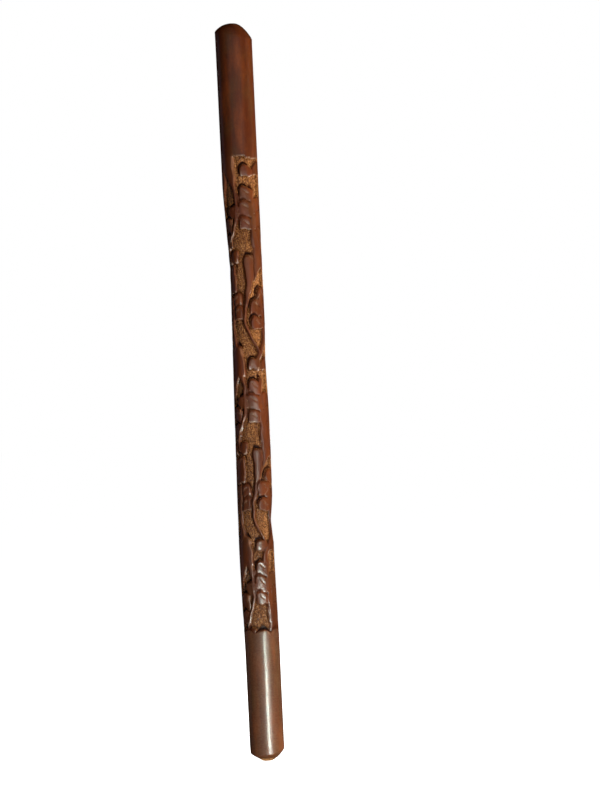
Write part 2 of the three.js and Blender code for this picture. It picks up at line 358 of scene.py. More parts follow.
@dataclass(frozen=True)
class Hollow:
    """A broad place cut deeper than the ground: its middle in degrees and millimetres below the
    grip's end, its reach round, up and down, and its depth. Its sides fall with these powers, and
    its ridge is rounded over a small share of its reach."""

    degrees: float
    below: float
    turn: float
    up: float
    down: float
    depth: float
    turn_power: float = 1.3
    slope_power: float = 1.15
    ridge_round: float = 0.004
    ridge_trim: float = 0.02

    def at(self, degrees: np.ndarray, below: np.ndarray) -> np.ndarray:
        """Works out the hollow.

        Args:
            degrees: angle of each point from the front.
            below: distance of each point below the grip's end.

        Returns:
            Its depth, greatest in its middle, which runs out in a parabola round the staff and
            in a nearly straight slope along it, each to its power.
        """
        turn = turn_between(self.degrees, degrees) / self.turn
        slide = below - self.below
        reach = np.abs(slide) / np.where(slide < 0, self.up, self.down)
        reach = np.sqrt(reach**2 + self.ridge_round) - self.ridge_trim
        round_share = np.clip(1 - turn**2, 0, 1) ** self.turn_power
        return self.depth * round_share * np.clip(1 - reach, 0, 1) ** self.slope_power


HOLLOWS = (
    Hollow(-96, 301, 66, 100, 235, 4.7),
    Hollow(97, 412, 40, 40, 60, 1.5),
    Hollow(97, 608, 44, 30, 26, 2.6),
)


@dataclass(frozen=True)
class Cut:
    """The worked-out carving at each point: depth in millimetres, and shares from 0 to 1 of raised wood, of
    gouge, which the finish darkens as stain and painted shade, of veins and gouge rims, which it paints
    pale as highlights, and of the carved band."""

    depth: np.ndarray
    raised: np.ndarray
    gouge: np.ndarray
    veins: np.ndarray
    band: np.ndarray


@dataclass(frozen=True)
class Carving:
    """The carved band. Lengths in millimetres, levels down from the grip's end, angles in
    degrees. A pair is the two values between which a slope, a change or a fading goes: of a
    stem's run as shares of its length, and otherwise in millimetres or degrees."""

    # The band, its borders and its ground
    ground_depth: float = 3.6
    gouge_depth: float = 1.5
    gouge_depth_lost_on_relief: float = 0.3
    gouge_width: float = 4.6
    gouge_taper: float = 1.5
    top: float = 162.5
    top_slope: tuple[float, float] = (0, 1.8)
    top_dip: float = 3.5
    top_dip_from: tuple[float, float] = (18, 24)
    top_dip_to: tuple[float, float] = (80, 90)
    end: float = 739.5
    end_slope: tuple[float, float] = (-0.5, 1)
    end_arch: float = 2.5
    end_arch_turn: float = 25
    end_arch_limit: float = 1.3
    end_gouge: float = 9
    end_gouge_turn: float = 27
    end_gouge_lost_on_relief: float = 0.5
    column_reach: float = 80
    column_middle: float = 4
    degree: float = math.radians(1) * 21.8
    softness: float = 0.08
    side_wear: float = 0.92
    worn_sides: tuple[float, float] = (0.94, 0.995)
    overlap: float = 0.35
    vein_depth: float = 0.2
    # The stems
    stem_length: float = 119.3
    stem_arch: float = 7.5
    stem_arch_shares: tuple[float, float] = (0.7, 0.3)
    stem_arch_limit: float = 2
    stem_lip_slope: tuple[float, float] = (-0.3, 2)
    stem_lip_reach: float = 20
    stem_gouge_share: float = 1.45
    stem_roundness: float = 0.12
    stem_vein: Vein = Vein(2, 1.4, 1.35, (0.3, 1.6), (-1, 3))
    wall: float = 3
    wall_outside: float = 0.25
    wall_widening: tuple[float, float] = (0.7, 0.95)
    swing_degrees: float = 44
    swing_spread: float = 2
    swing_spreading: tuple[float, float] = (0.8, 1.05)
    swing_ending: tuple[float, float] = (1.04, 1.1)
    above_band: float = -60
    joined_start: float = 38
    joined_half: float = 17
    joined_narrowing: tuple[float, float] = (0, 0.5)
    joined_spread: float = 24
    joined_spreading: tuple[float, float] = (0.7, 1.05)
    joined_extra: float = 16
    joined_slant: float = 0.017
    joined_slant_from: float = 31
    joined_slant_reach: float = 60
    joined_end_slope: tuple[float, float] = (0, 2.5)
    undercut_depth: float = 0.6
    undercut_slope: tuple[float, float] = (0.1, 1.2)
    undercut_from: tuple[float, float] = (2, 8)
    undercut_to: tuple[float, float] = (0.55, 0.75)
    # The buds
    bud_length: float = 110
    bud_head: float = 24
    arch_turn: float = 16
    arch_limit: float = 1.6
    lobe_slope: tuple[float, float] = (-0.2, 2)
    lobe_end_slope: float = 1.2
    lobe_end_lift: float = 0.3
    lobe_end_lift_reach: float = 6
    lobe_low: float = 0.74
    lobe_full: float = 0.99
    lobe_filling: tuple[float, float] = (8, 24)
    lobe_inner_power: float = 6
    lobe_vein: Vein = Vein(0, 5.5, 0.75, (0.3, 1.4), (-5, -1))
    bed_low: float = 0.4
    nail_share: float = 0.8
    nail_thinning: float = 0.55
    nail_thinning_from: float = 0.2
    rim_gap: float = 0.2
    rim_width: float = 0.6
    rim_share: float = 0.6
    # The unsteadiness of the cut
    round_waves: tuple[Wave, ...] = (Wave(1.1, 5.1, 2), Wave(0.9, 2.9, -5, 1.3))
    down_waves: tuple[Wave, ...] = (Wave(0.45, 9.7, 7), Wave(0.35, -6.3, 13, 2))

    def stem(
        self, column: Column, first: bool, across: np.ndarray, down: np.ndarray
    ) -> tuple[np.ndarray, ...]:
        """Works out a stem: full height inside its outline and sloping to the ground in a wall.

        Args:
            column: the column that the stem belongs to.
            first: whether it is the stem above the column's first bud.
            across: degrees from the column's line, positive towards its swing.
            down: millimetres below the bud that the stem hangs from.

        Returns:
            Height from 0 to 1, depth from 0 to 1 of the gouges that set off its arched top and its outer
            foot, and from 0 to 1 the worn vein that slants down from its top, painted pale as a highlight.
            Its middle line goes from its top offset to its bulge along a smooth step, its half width
            narrows to its neck along another, and its top is a parabola on each side of its lip.
        """
        run = down / self.stem_length
        form = column.stem
        narrowing = smooth_step(run, *form.narrowing)
        is_joined = column.swing is Swing.JOINED
        if is_joined:
            widening = smooth_step(run, *self.joined_spreading)
            offset = across - (form.bulge + widening * form.drift)
            half = blend(self.joined_half, form.neck, smooth_step(run, *self.joined_narrowing))
            half = half + widening * self.joined_spread
            from_slant = np.clip(self.joined_slant_from - across, 0, self.joined_slant_reach)
            longest = self.stem_length + self.joined_extra + self.joined_slant * from_slant**2
            tail = 1 - smooth_step(down - longest, *self.joined_end_slope)
            start = self.joined_start
        else:
            middle = blend(form.top_offset, form.bulge, smooth_step(run, *form.bulging))
            offset = across - (middle + smooth_step(run, *form.swinging) * self.swing_degrees)
            half = blend(form.top_half, form.neck, narrowing)
            half = half + self.swing_spread * smooth_step(run, *self.swing_spreading)
            tail = 1 - smooth_step(run, *self.swing_ending)
            start = self.above_band if first else column.late
        spread = np.abs(offset) / half
        slide = down - start
        from_lip = offset - form.lip
        is_outer = from_lip < 0
        lip = np.where(is_outer, from_lip / (half + form.lip), from_lip / (half - form.lip))
        arch = np.where(is_outer, *self.stem_arch_shares) * self.stem_arch
        under = slide - arch * np.clip(lip, -self.stem_arch_limit, self.stem_arch_limit) ** 2
        outer_wall = blend(form.top_wall, self.wall, narrowing)
        wall = np.where(offset < 0, outer_wall, self.wall)
        wall = wall + form.end_wall * smooth_step(run, *self.wall_widening)
        inside = (half - np.abs(offset)) * self.degree
        beyond = -inside - self.wall_outside * wall
        side = smooth_step(inside, -self.wall_outside * wall, (1 - self.wall_outside) * wall)
        is_under_lip = under > self.stem_lip_slope[0]
        height = side * smooth_step(under, *self.stem_lip_slope) * tail * is_under_lip
        taper = 1 - np.clip(np.abs(lip), 0, 1) ** self.gouge_taper
        gouge = bowl(-under, self.stem_gouge_share * self.gouge_width * taper + LEAST_REACH)
        gouge = gouge * (under <= 0) * (np.abs(lip) < 1) * (slide < self.stem_lip_reach)
        gouge = gouge * (is_joined or not first)
        near, far = self.undercut_slope
        foot = smooth_step(beyond, -far, -near) * (1 - smooth_step(beyond, near, far)) * (offset < 0)
        foot = foot * smooth_step(under, *self.undercut_from) * (not is_joined)
        foot = foot * (1 - smooth_step(run, *self.undercut_to))
        vein = self.stem_vein.share(offset, slide, self.degree) * (under > 0)
        vein = vein * (slide < self.stem_lip_reach) * (not is_joined)
        height = height * (1 - self.stem_roundness * np.clip(spread, 0, 1) ** 2)
        height = height * (1 - self.vein_depth * vein)
        return height, np.maximum(gouge, self.undercut_depth * foot), vein

    def bud(
        self, lobes: tuple[Lobe, ...], across: np.ndarray, down: np.ndarray
    ) -> tuple[np.ndarray, ...]:
        """Works out a bud: lobes that overlap downwards like scales, each under a gouged arch.

        Args:
            lobes: the bud's lobes from its top down.
            across: degrees from the column's line, positive on the side that joins the next stem.
            down: millimetres below the bud's top.

        Returns:
            Height from 0 to 1, depth from 0 to 1 of the gouges over the arches, and from 0 to 1 the veins
            and the rims of those gouges, which are painted pale as highlights. On the outer side a lobe
            lies under a quarter of an ellipse and the gouge runs on down its side; on the inner side it
            lies under a parabola and stays full. It rises within 2 mm and falls to its end.
        """
        height = np.zeros_like(across)
        gouge = np.zeros_like(across)
        veins = np.zeros_like(across)
        for lobe in lobes:
            offset = across - lobe.lean
            is_outer = offset < 0
            away = np.abs(offset) * self.degree
            slide = down - lobe.start
            above = np.clip(lobe.outer_arch - slide, 0, None)
            outline = np.hypot(away / (lobe.outer * self.degree), above / lobe.outer_arch) + HAIR
            distance = np.hypot(away, above) * (1 - 1 / outline)
            rise = np.clip(np.abs(offset) / self.arch_turn, 0, self.arch_limit) ** 2 * lobe.inner_arch
            distance = np.where(is_outer, distance, rise - slide)
            lift = self.lobe_end_lift * np.where(is_outer, lobe.outer_arch, 0)
            length = lobe.end - lobe.start - lift * (away / self.lobe_end_lift_reach) ** 2
            run = np.clip(slide / (lobe.end - lobe.start), 0, 1)
            if lobe.vein:
                filling = smooth_step(offset, *self.lobe_filling)
                crest = blend(blend(lobe.crest, self.lobe_low, run**2), self.lobe_full, filling)
            else:
                crest = lobe.crest * blend(1, self.bed_low, np.clip(2 * run - 1, 0, 1) ** 2)
            ending = 1 - smooth_step(slide, length - self.lobe_end_slope, length)
            crest = crest * smooth_step(-distance, *self.lobe_slope) * ending
            inner = np.clip(1 - (np.abs(offset) / lobe.inner) ** self.lobe_inner_power, 0, 1)
            height = np.maximum(height, crest * np.where(is_outer, 1, inner))
            taper = 1 - np.clip((slide - lobe.outer_arch) / lobe.side_cut, 0, 1)
            breadth = 1 - np.clip(offset / lobe.breadth, 0, 1) ** self.gouge_taper
            thinning = smooth_step(slide, self.nail_thinning_from * lobe.outer_arch, lobe.outer_arch)
            thin = 1 - self.nail_thinning * thinning
            reach = self.nail_share * self.gouge_width * np.where(is_outer, taper * thin, breadth)
            reach = reach + LEAST_REACH
            gouge = np.maximum(gouge, lobe.nail * (bowl(distance, reach) * (distance > 0)))
            vein = self.lobe_vein.share(offset, slide, self.degree) * (slide > 0) * (slide < length)
            height = np.maximum(height - self.vein_depth * vein * lobe.vein, 0)
            from_rim = np.abs(distance - reach - self.rim_gap)
            rim = np.clip(1 - from_rim / self.rim_width, 0, 1) * (offset < lobe.breadth)
            veins = np.maximum(veins, np.maximum(vein, self.rim_share * rim) * lobe.vein)
        return height, gouge, veins

    def cut(self, degrees: np.ndarray, below: np.ndarray) -> Cut:
        """Works out the whole carving by joining the heights of all columns.

        Args:
            degrees: angle of each point from the front.
            below: distance of each point below the grip's end.

        Returns:
            The carving at each point: ground depth times (1 - height), plus the gouges, inside
            the band, plus the hollows. Each point is first shifted by slow waves of about a
            millimetre at most, as a hand guides a gouge. A bud's gouges stop at the stems beside
            it, but those of a joined column cut a little way into them. Both sides are worn down
            to a shallow relief, as their even outlines show. The band's lower border arches over
            the foot, with a gouge above it.
        """
        round_shift = ripple(self.round_waves, degrees, below)
        down_shift = ripple(self.down_waves, degrees, below)
        degrees, below = degrees + round_shift, below + down_shift
        height = np.zeros_like(degrees)
        gouge = np.zeros_like(degrees)
        stems = np.zeros_like(degrees)
        veins = np.zeros_like(degrees)
        border = np.full_like(degrees, np.inf)
        for number, column in enumerate(COLUMNS):
            across = turn_between(column.degrees, degrees)
            if column.swing is Swing.LEFT:
                across = -across
            near = np.abs(across) < self.column_reach
            others = stems  # those of the columns before this one
            if number % 2 == 0:
                border = np.minimum(border, np.abs(across - self.column_middle))
            for row, top in enumerate(column.tops):
                down = below - top
                if row > 0 or top > 0:
                    stem, stem_gouge, stem_vein = self.stem(
                        column, row == 0, across, down - self.bud_length
                    )
                    stem = np.where(near, stem, 0)
                    veins = np.maximum(veins * (1 - stem), np.where(near, stem_vein, 0))
                    gouge = np.maximum(gouge * (1 - stem), np.where(near, stem_gouge, 0) * (1 - height))
                    height = soft_max(height, stem, self.softness)
                    stems = np.maximum(stems, stem)
                bud, bud_gouge, bud_veins = self.bud(column.lobes, across, down)
                is_on = near & (down > -self.bud_head) & (down < self.bud_length)
                height = soft_max(height, np.where(is_on, bud, 0), self.softness)
                clear = 1 - (self.overlap * others if column.swing is Swing.JOINED else stems)
                gouge = np.maximum(gouge, np.where(is_on, bud_gouge, 0) * clear)
                veins = np.maximum(veins, np.where(is_on, bud_veins, 0) * clear)
        arch = np.clip(border / self.end_arch_turn, 0, self.end_arch_limit) ** 2
        end = self.end + self.end_arch * arch
        dip = smooth_step(degrees, *self.top_dip_from) * (1 - smooth_step(degrees, *self.top_dip_to))
        top = self.top + self.top_dip * dip
        band = smooth_step(below - top, *self.top_slope) * (1 - smooth_step(below - end, *self.end_slope))
        taper = 1 - np.clip(border / self.end_gouge_turn, 0, 1) ** self.gouge_taper
        end_gouge = bowl(end - below, self.end_gouge * taper + LEAST_REACH)
        end_gouge = end_gouge * (below > self.end - 2 * self.end_gouge)
        gouge = np.maximum(gouge, end_gouge * (1 - self.end_gouge_lost_on_relief * height))
        side = smooth_step(np.abs(np.sin(np.radians(degrees))), *self.worn_sides)
        depth = self.ground_depth * (1 - height) * (1 - self.side_wear * side)
        lost = self.gouge_depth_lost_on_relief * height
        depth += self.gouge_depth * gouge * (1 - lost) * (1 - side)
        veins = veins * np.where(below > self.end, 1, band)
        depth = depth * band
        depth = depth + sum(hollow.at(degrees, below) for hollow in HOLLOWS)
        return Cut(depth, height, gouge * band, veins, band)


# Finishes


@dataclass(frozen=True)
class Grain:
    """A noise pattern drawn out along the staff: the width and length of its spots in metres, how
    many finer noises are added to it and how strong they are."""

    width: float
    length: float
    detail: float
    rough: float = 0.55


@dataclass(frozen=True)
class Fade:
    """A value that goes from low to high, and stays there, as a pattern or mask goes from start to
    end. Where within names another pattern or mask, the value is multiplied by how far that one
    has come between its own two values."""

    pattern: str
    start: float
    end: float
    low: float = 0
    high: float = 1
    within: str = ""
    within_start: float = 0
    within_end: float = 1


def fade_nodes(tree: bpy.types.NodeTree, patterns: dict, fade: Fade) -> bpy.types.NodeSocket:
    """Makes the nodes of a fade.

    Args:
        tree: the node tree of a material.
        patterns: output sockets by name.
        fade: what to work out.

    Returns:
        The socket with the value.
    """
    ends = {"From Min": fade.start, "From Max": fade.end, "To Min": fade.low, "To Max": fade.high}
    value = add_node(tree, "ShaderNodeMapRange", {"Value": patterns[fade.pattern], **ends}).outputs[0]
    if not fade.within:
        return value
    ends = {"From Min": fade.within_start, "From Max": fade.within_end}
    share = add_node(tree, "ShaderNodeMapRange", {"Value": patterns[fade.within], **ends}).outputs[0]
    return add_node(tree, "ShaderNodeMath", {0: share, 1: value}, operation="MULTIPLY").outputs[0]


def stained(
    tree: bpy.types.NodeTree, patterns: dict, colour: object, coats: tuple[tuple[Fade, object], ...]
) -> bpy.types.NodeSocket:
    """Lays coats of colour one over another, each where its fade says and as strongly.

    Args:
        tree: the node tree of a material.
        patterns: output sockets by name.
        colour: the lowest colour, a hex code or a socket.
        coats: fades, each with its colour.

    Returns:
        The socket with the last colour.
    """
    mixed = linear(colour) if isinstance(colour, str) else colour
    for fade, coat in coats:
        over = linear(coat) if isinstance(coat, str) else coat
        inputs = {"Factor": fade_nodes(tree, patterns, fade), MIX_FIRST: mixed, MIX_SECOND: over}
        mixed = add_node(tree, "ShaderNodeMix", inputs, data_type="RGBA").outputs[MIX_RESULT]
    return mixed


def new_tree(name: str) -> tuple[bpy.types.Material, bpy.types.NodeTree, bpy.types.NodeSocket]:
    """Makes a material with nothing in its node tree but Object coordinates.

    Args:
        name: the material's name.

    Returns:
        The material, its tree and the coordinates' socket.
    """
    made = bpy.data.materials.new(name)
    made.use_nodes = True
    made.node_tree.nodes.clear()
    place = add_node(made.node_tree, "ShaderNodeTexCoord").outputs["Object"]
    return made, made.node_tree, place


@dataclass(frozen=True)
class VarnishedHardwood:
    """Close-grained hardwood, carved, stained red brown and rubbed with a glossy varnish. The eye sees long
    dark streaks of grain under a shine; gouges and creases darkened by stain and painted shade, and walls
    turned away from the light darkened by painted shade; pale worn edges, veins, rims and slopes that face
    the light, painted lighter as highlights; and between the carving a stippled ground left pale and dull,
    because the varnish was kept off it. The lower carving is darker. The foot's varnish is scuffed and
    milky, a tone that also serves as a painted sheen."""

    name: str = "varnished carved hardwood"
    heartwood: str = "602b12"
    streak: str = "4b200d"
    flame: str = "7a3a17"
    olive: str = "59391c"
    rubbed: str = "70371b"
    # Pale edge wear, laid only where edges face the light, so partly a painted highlight
    worn: str = "c59c7c"
    # Painted highlight: the paler tone of slopes that face the light beside open ground
    lit_slope_tone: str = "955d38"
    # Painted highlight on walls that face the light
    lit_wall: str = "e2d0c0"
    # Milky scuffed varnish of the foot, which also serves as a painted sheen
    milky_scuff_and_sheen: str = "987d5c"
    # Darker tone laid over the lower part of the carving
    lower_darkening: str = "3f2614"
    ground: str = "b5743d"
    fleck: str = "d2a071"
    ground_shade: str = "5a3016"
    # Near black of gouges, creases and walls turned away from the light: stain and painted shade
    gouge_stain_and_shade: str = "160806"
    ior: float = 1.5
    polished_roughness: float = 0.45
    ground_roughness: float = 0.6
    pore_roughness: tuple[float, float] = (-0.05, 0.1)
    specular: float = 0.5
    gouge_specular: float = 0.08
    coat: float = 0.8
    ground_coat: float = 0.05
    coat_roughness: float = 0.2
    peel_depth: float = 0.08 * MM
    pore_depth: float = 0.12 * MM
    pore_strength: float = 0.4
    scuff_depth: float = 0.16 * MM
    scuff_strength: float = 0.3
    raggedness: float = 0.22
    punch_depth: float = 0.9 * MM
    masks: tuple[str, ...] = ("ground", "gouge", "worn_and_lit_edge", "lit_slope", "carved", "low", "scuffed")
    streaks: Grain = Grain(5 * MM, 150 * MM, 3)
    pores: Grain = Grain(0.5 * MM, 9 * MM, 2)
    patches: Grain = Grain(14 * MM, 60 * MM, 2)
    clouds: Grain = Grain(22 * MM, 40 * MM, 1)
    mottle: Grain = Grain(3.2 * MM, 4.5 * MM, 3, 0.65)
    scuffs: Grain = Grain(3 * MM, 1.6 * MM, 2, 0.7)
    stipple: Grain = Grain(1.3 * MM, 1.69 * MM, 1, 0.6)
    peel: Grain = Grain(2.6 * MM, 2.6 * MM, 2)

    def wood_coats(self) -> tuple[tuple[Fade, str], ...]:
        """Lists the stains, the wear and the painted highlights.

        Returns:
            Coats over the wood's darkest streaks: its grain, clouds and patches, its pores, its mottle, the
            rubbed carving, painted highlights on slopes that face the light, worn edges shown where they
            face the light and so partly painted highlight, painted highlights on lit walls, and the foot's
            milky scuffs, which also serve as a painted sheen.
        """
        return (
            (Fade("streaks", 0.38, 0.68), self.heartwood),
            (Fade("clouds", 0.45, 0.7, 0, 0.6), self.olive),
            (Fade("patches", 0.48, 0.7, 0, 0.8), self.flame),
            (Fade("pores", 0.56, 0.74, 0, 0.55), self.streak),
            (Fade("mottle", 0.5, 0.72, 0, 0.5), self.streak),
            (Fade("mottle", 0.46, 0.28, 0, 0.35), self.flame),
            (Fade("carved", 0, 1, 0, 0.2), self.rubbed),
            # Painted highlight on slopes that face the light
            (Fade("mottle", 0.3, 0.6, 0.5, 0.95, "lit_slope"), self.lit_slope_tone),
            # Worn edges, veins and rims, shown where they face the light: wear and painted highlight
            (Fade("mottle", 0.35, 0.6, 0.05, 0.7, "worn_and_lit_edge", 0.3, 1), self.worn),
            # Painted highlight on walls that face the light
            (Fade("worn_and_lit_edge", 0.4, 0.75, 0, 0.6, "lit_slope"), self.lit_wall),
            # Milky scuffs on the foot, which also serve as a painted sheen
            (Fade("scuffs", 0.3, 0.7, 0.03, 0.24, "scuffed"), self.milky_scuff_and_sheen),
        )

    def ground_coats(self) -> tuple[tuple[Fade, str], ...]:
        """Lists the coats of the punched ground.

        Returns:
            Coats over the ground's shade: its golden wood, its pale flecks and its patches.
        """
        return (
            (Fade("marks", 0, 1), self.ground),
            (Fade("stipple", 0.6, 0.72, 0, 0.6), self.fleck),
            (Fade("patches", 0.42, 0.66, 0, 0.35), self.ground_shade),
        )

    def material(self) -> bpy.types.Material:
        """Makes the node material from the piece's attributes and its Object coordinates.

        Returns:
            The material. Streaks and pores are noise stretched along the staff; the ground's stipple is
            noise as fine as the punch marks, drawn a little coarser than real ones so that it shows; the
            ground's edge is ragged; gouges, creases and walls turned away from the light are darkened by
            their mask, as stain and painted shade.
        """
        made, tree, place = new_tree(self.name)
        patterns = {
            mask: add_node(tree, "ShaderNodeAttribute", attribute_name=mask).outputs["Fac"]
            for mask in self.masks
        }
        for name in ("streaks", "pores", "patches", "clouds", "mottle", "scuffs", "stipple", "peel"):
            grain = getattr(self, name)
            scale = (1 / grain.width, 1 / grain.width, 1 / grain.length)
            scaled = add_node(tree, "ShaderNodeMapping", {"Vector": place, "Scale": scale}).outputs[0]
            detail = {"Detail": grain.detail, "Roughness": grain.rough}
            noise = add_node(tree, "ShaderNodeTexNoise", {"Vector": scaled, "Scale": 1.0, **detail})
            patterns[name] = noise.outputs["Fac"]

        rag = fade_nodes(tree, patterns, Fade("mottle", 0.35, 0.65, self.raggedness, -self.raggedness))
        ragged = add_node(tree, "ShaderNodeMath", {0: patterns["ground"], 1: rag}, operation="ADD")
        patterns["ragged"] = ragged.outputs[0]
        for name, fade in (
            ("is_ground", Fade("ragged", 0.35, 0.6)),
            ("marks", Fade("stipple", 0.36, 0.6)),
            ("scuff strength", Fade("scuffed", 0, 1, self.scuff_strength, 1)),
            ("surface", Fade("is_ground", 0, 1, self.polished_roughness, self.ground_roughness)),
            ("pore roughness", Fade("pores", 0.3, 0.7, *self.pore_roughness)),
            ("specular", Fade("gouge", 0.05, 0.45, self.specular, self.gouge_specular)),
            ("coat", Fade("is_ground", 0, 1, self.coat, self.ground_coat, "gouge", 0.5, 0)),
        ):
            patterns[name] = fade_nodes(tree, patterns, fade)
        wood = stained(tree, patterns, self.streak, self.wood_coats())
        ground = stained(tree, patterns, self.ground_shade, self.ground_coats())
        over_all = (
            (Fade("is_ground", 0, 1), ground),
            # Darker towards the lower end of the carving
            (Fade("low", 0, 1, 0, 0.22), self.lower_darkening),
            # Near black in gouges, creases and walls turned away from the light: stain and painted shade
            (Fade("gouge", 0.12, 0.8, 0, 0.95), self.gouge_stain_and_shade),
        )
        colour = stained(tree, patterns, wood, over_all)
        parts = {0: patterns["surface"], 1: patterns["pore roughness"]}
        roughness = add_node(tree, "ShaderNodeMath", parts, operation="ADD").outputs[0]
        bump = None
        for height, depth, strength in (
            ("peel", self.peel_depth, 1.0),
            ("pores", self.pore_depth, self.pore_strength),
            ("scuffs", self.scuff_depth, patterns["scuff strength"]),
            ("marks", self.punch_depth, patterns["is_ground"]),
        ):
            inputs = {"Strength": strength, "Distance": depth, "Height": patterns[height]}
            below = {"Normal": bump} if bump else {}
            bump = add_node(tree, "ShaderNodeBump", {**inputs, **below}).outputs[0]
        inputs = {
            "Base Color": colour,
            "Roughness": roughness,
            "IOR": self.ior,
            "Specular IOR Level": patterns["specular"],
            "Normal": bump,
            "Coat Weight": patterns["coat"],
            "Coat Roughness": self.coat_roughness,
            "Coat Normal": bump,
        }
        shader = add_node(tree, "ShaderNodeBsdfPrincipled", inputs)
        add_node(tree, "ShaderNodeOutputMaterial", {"Surface": shader.outputs[0]})
        return made


@dataclass(frozen=True)
class BareEndGrain:
    """Turned hardwood left bare and worn by the ground, or a dowel's own wood. The eye sees dull
    golden brown end grain, with darker pores and growth rings, and dirt rubbed into it."""

    name: str = "bare worn end grain"
    light: str = "a87a4a"
    dark: str = "6f4a2c"
    dirt_and_shade: str = "3b281b"
    ior: float = 1.5
    roughness: float = 0.72
    ring_pitch: float = 2.2 * MM
    ring_waviness: float = 2.5
    pore_pitch: float = 0.45 * MM
    pore_stretch: float = 0.15
    pore_depth: float = 0.2 * MM
    pore_strength: float = 0.35
    smudges_per_metre: float = 160.0
    ring_centre: tuple[float, float, float] = (3 * MM, 9 * MM, 0)

    def material(self) -> bpy.types.Material:
        """Makes the node material on Object coordinates.

        Returns:
            The material. Growth rings are bands round an axis beside the staff's, wavy by noise;
            pores are small cells, drawn out along the staff.
        """
        made, tree, place = new_tree(self.name)
        centred = add_node(tree, "ShaderNodeMapping", {"Vector": place, "Location": self.ring_centre})
        rings = add_node(
            tree,
            "ShaderNodeTexWave",
            {
                "Vector": centred.outputs[0],
                "Scale": 2 * math.pi / (WAVE_RADIANS * self.ring_pitch),
                "Distortion": self.ring_waviness,
                "Detail": 2.0,
                "Detail Scale": 1.5,
            },
            wave_type="RINGS",
            rings_direction="Z",
        )
        scale = (1 / self.pore_pitch, 1 / self.pore_pitch, self.pore_stretch / self.pore_pitch)
        fine = add_node(tree, "ShaderNodeMapping", {"Vector": place, "Scale": scale}).outputs[0]
        pores = add_node(tree, "ShaderNodeTexVoronoi", {"Vector": fine, "Scale": 1.0}, feature="F1")
        smudge = {"Vector": place, "Scale": self.smudges_per_metre, "Detail": 4.0}
        patterns = {
            "rings": rings.outputs["Fac"],
            "pores": pores.outputs["Distance"],
            "smudges": add_node(tree, "ShaderNodeTexNoise", smudge).outputs["Fac"],
        }
        coats = (
            (Fade("rings", 0.2, 0.8, 0, 0.6), self.dark),
            (Fade("pores", 0.35, 0.1, 0, 0.6), self.dark),
            (Fade("smudges", 0.52, 0.72, 0, 0.75), self.dirt_and_shade),
        )
        bump = add_node(
            tree,
            "ShaderNodeBump",
            {"Strength": self.pore_strength, "Distance": self.pore_depth, "Height": patterns["pores"]},
        )
        inputs = {
            "Base Color": stained(tree, patterns, self.light, coats),
            "Roughness": self.roughness,
            "IOR": self.ior,
            "Normal": bump.outputs[0],
        }
        shader = add_node(tree, "ShaderNodeBsdfPrincipled", inputs)
        add_node(tree, "ShaderNodeOutputMaterial", {"Surface": shader.outputs[0]})
        return made


# Pieces


